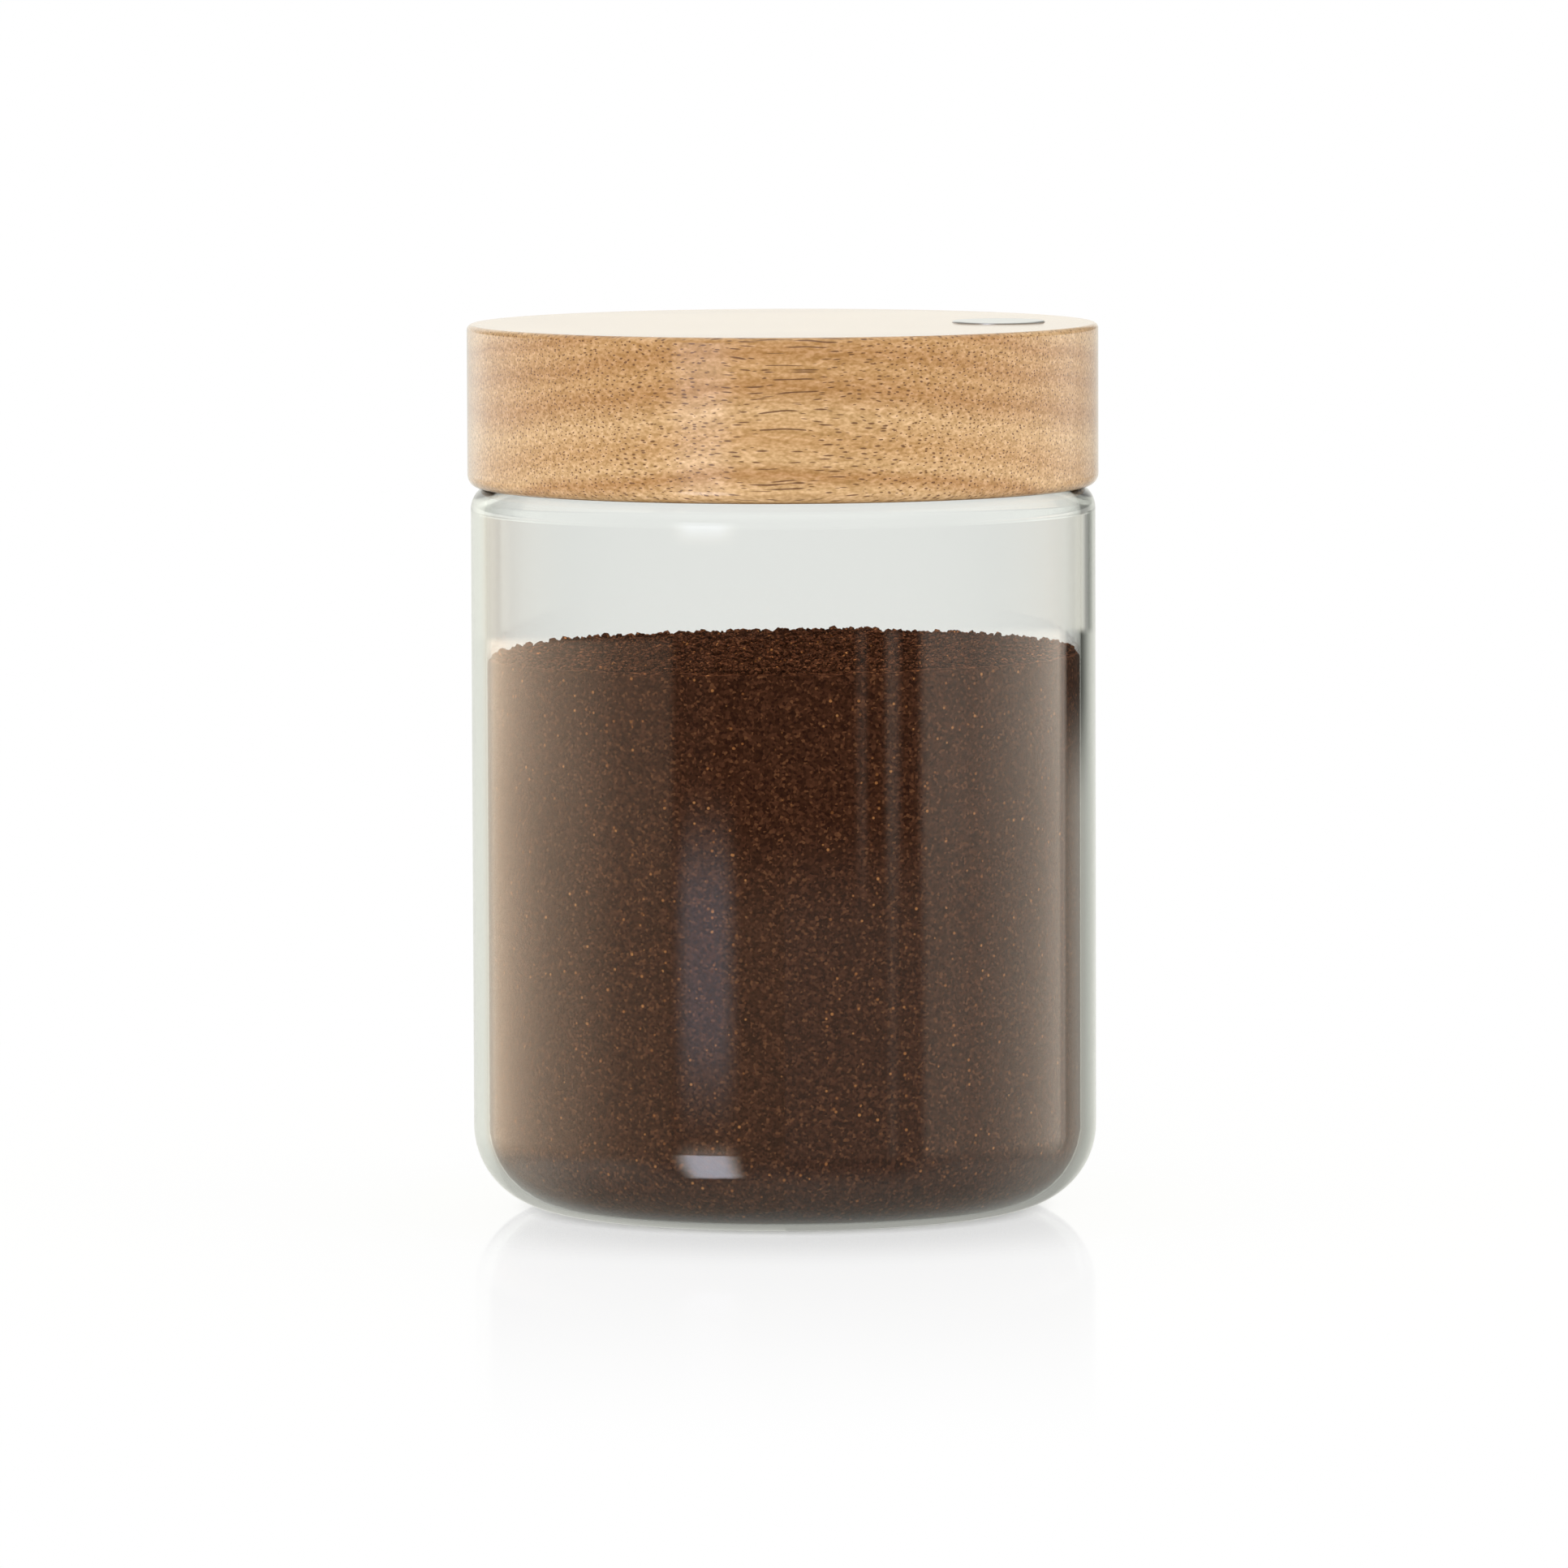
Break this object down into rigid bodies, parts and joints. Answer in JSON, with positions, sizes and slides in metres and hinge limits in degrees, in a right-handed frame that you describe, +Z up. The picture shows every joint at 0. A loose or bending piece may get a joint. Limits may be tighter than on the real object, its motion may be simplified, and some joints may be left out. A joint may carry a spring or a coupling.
{
  "type": "food canister",
  "caption": "Round glass storage jar with a rounded base and shoulder, filled with ground coffee and closed by a thick turned wooden lid that lifts off.",
  "frame": {"origin": "centre of the jar's flat base, on the surface it stands on", "axes": "+Z up along the jar's axis; +X towards the disc in the lid; the picture looks along +Y"},
  "size_m": [0.1, 0.1, 0.1406],
  "materials": {
    "clear_glass": "clear soda-lime glass with a faint green tint, fire polished",
    "ground_coffee": "loose dark roast grounds with lighter chaff flecks",
    "turned_wood": "turned and sanded hardwood with open pores, oiled",
    "silicone": "moulded translucent white silicone, matt",
    "adhesive": "thin acrylic adhesive film",
    "satin_metal": "satin brushed, plain face"
  },
  "bodies": {
    "jar": {"glass_jar": "clear_glass", "ground_coffee": "ground_coffee"},
    "lid": {"wooden_lid": "turned_wood", "silicone_seal": "silicone", "disc_adhesive": "adhesive", "inlay_disc": "satin_metal"}
  },
  "joints": [
    {"name": "lid_lift", "type": "slide", "parent": "jar", "child": "lid", "axis": [0, 0, 1], "range_m": [0, 0.1]}
  ]
}
